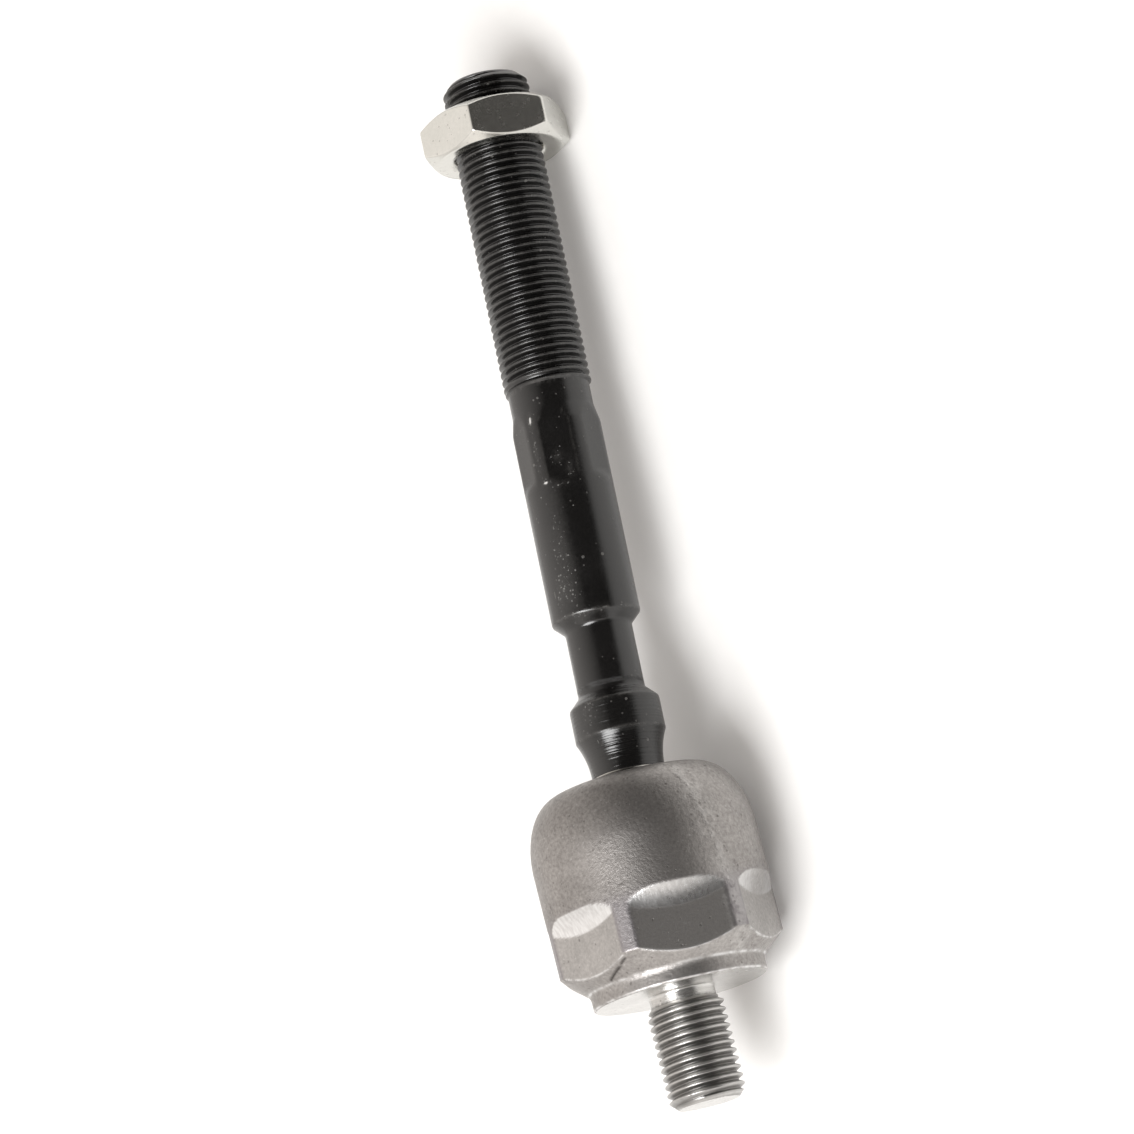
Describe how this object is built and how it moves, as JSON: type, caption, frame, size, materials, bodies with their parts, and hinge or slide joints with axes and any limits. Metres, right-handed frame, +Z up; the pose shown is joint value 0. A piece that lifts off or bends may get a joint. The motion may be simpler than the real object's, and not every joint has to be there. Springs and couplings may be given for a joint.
{
  "type": "inner tie rod",
  "caption": "Steering inner tie rod: a hexagonal ball socket with a threaded rack stud, and a swivelling threaded rod with a jam nut.",
  "frame": {"origin": "middle of the socket's flat seating face, where the stud leaves it and the steering rack meets it", "axes": "+X from the seating face to the socket's mouth and on towards the rod's free end, +Z up as the joint lies on a flat surface, the rack stud points to -X"},
  "size_m": [0.1929, 0.0406, 0.0406],
  "materials": {
    "forged_steel": "shot-blasted forged steel with burnished scoops",
    "black_steel": "semi-gloss black coating",
    "zinc_steel": "bright zinc plating",
    "seat_plastic": "moulded acetal"
  },
  "bodies": {
    "housing": {"socket_housing": "forged_steel"},
    "seat": {"ball_seat": "seat_plastic"},
    "rod": {"tie_rod": "black_steel"},
    "nut": {"jam_nut": "zinc_steel"}
  },
  "joints": [
    {"name": "seat_spin", "type": "hinge", "parent": "housing", "child": "seat", "pos_m": [0.0274, 0, 0], "axis": [1, 0, 0], "continuous": true},
    {"name": "rod_swing", "type": "hinge", "parent": "seat", "child": "rod", "pos_m": [0.0274, 0, 0], "axis": [0, 1, 0], "range_deg": [-27.4, 20.6]},
    {"name": "nut_travel", "type": "slide", "parent": "rod", "child": "nut", "axis": [0.9982, 0, -0.06], "range_m": [-0.045, 0.0045]}
  ]
}
